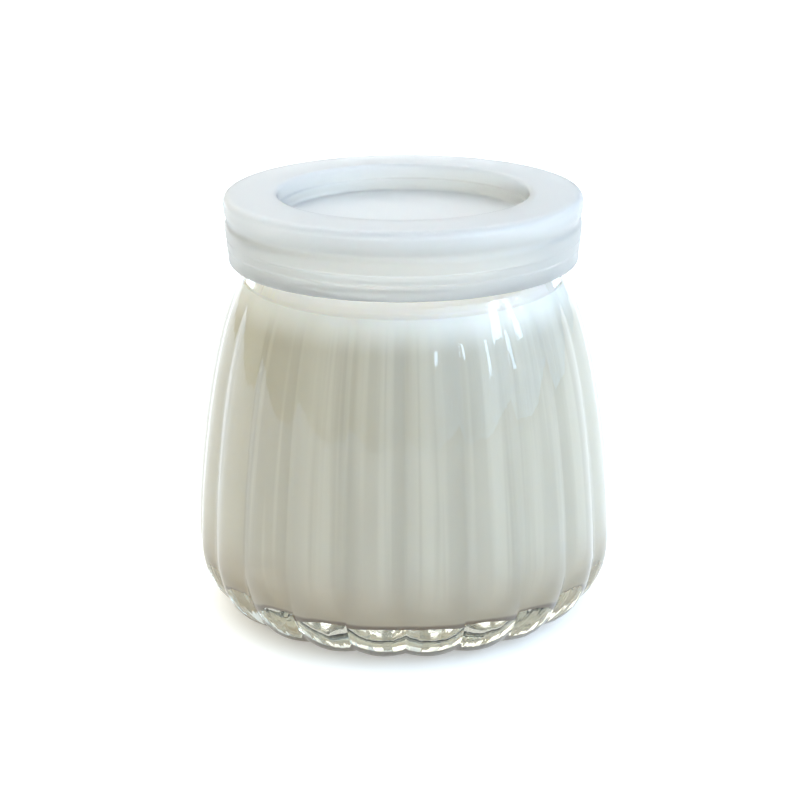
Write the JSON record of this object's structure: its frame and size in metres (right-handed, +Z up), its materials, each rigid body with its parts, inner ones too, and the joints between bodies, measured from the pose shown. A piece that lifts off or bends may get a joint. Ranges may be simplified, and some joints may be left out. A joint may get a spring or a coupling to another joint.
{
  "type": "glass pudding jar",
  "caption": "Squat fluted glass jar of milk pudding, flared to a rounded heel with a thick clear base, closed by a translucent plastic snap lid with a recessed centre.",
  "frame": {"origin": "centre of the foot ring, on the plane the jar stands on", "axes": "+Z up along the jar's axis; -Y faces the viewer of the picture, on a valley between two flutes"},
  "size_m": [0.0746, 0.074, 0.0748],
  "materials": {
    "clear_glass": "fire-polished clear glass",
    "milk_pudding": "smooth set milk pudding, soft satin",
    "frosted_plastic": "translucent moulded polyethylene, satin"
  },
  "bodies": {
    "root": {"jar": "clear_glass", "pudding": "milk_pudding", "lid": "frosted_plastic"}
  },
  "joints": []
}
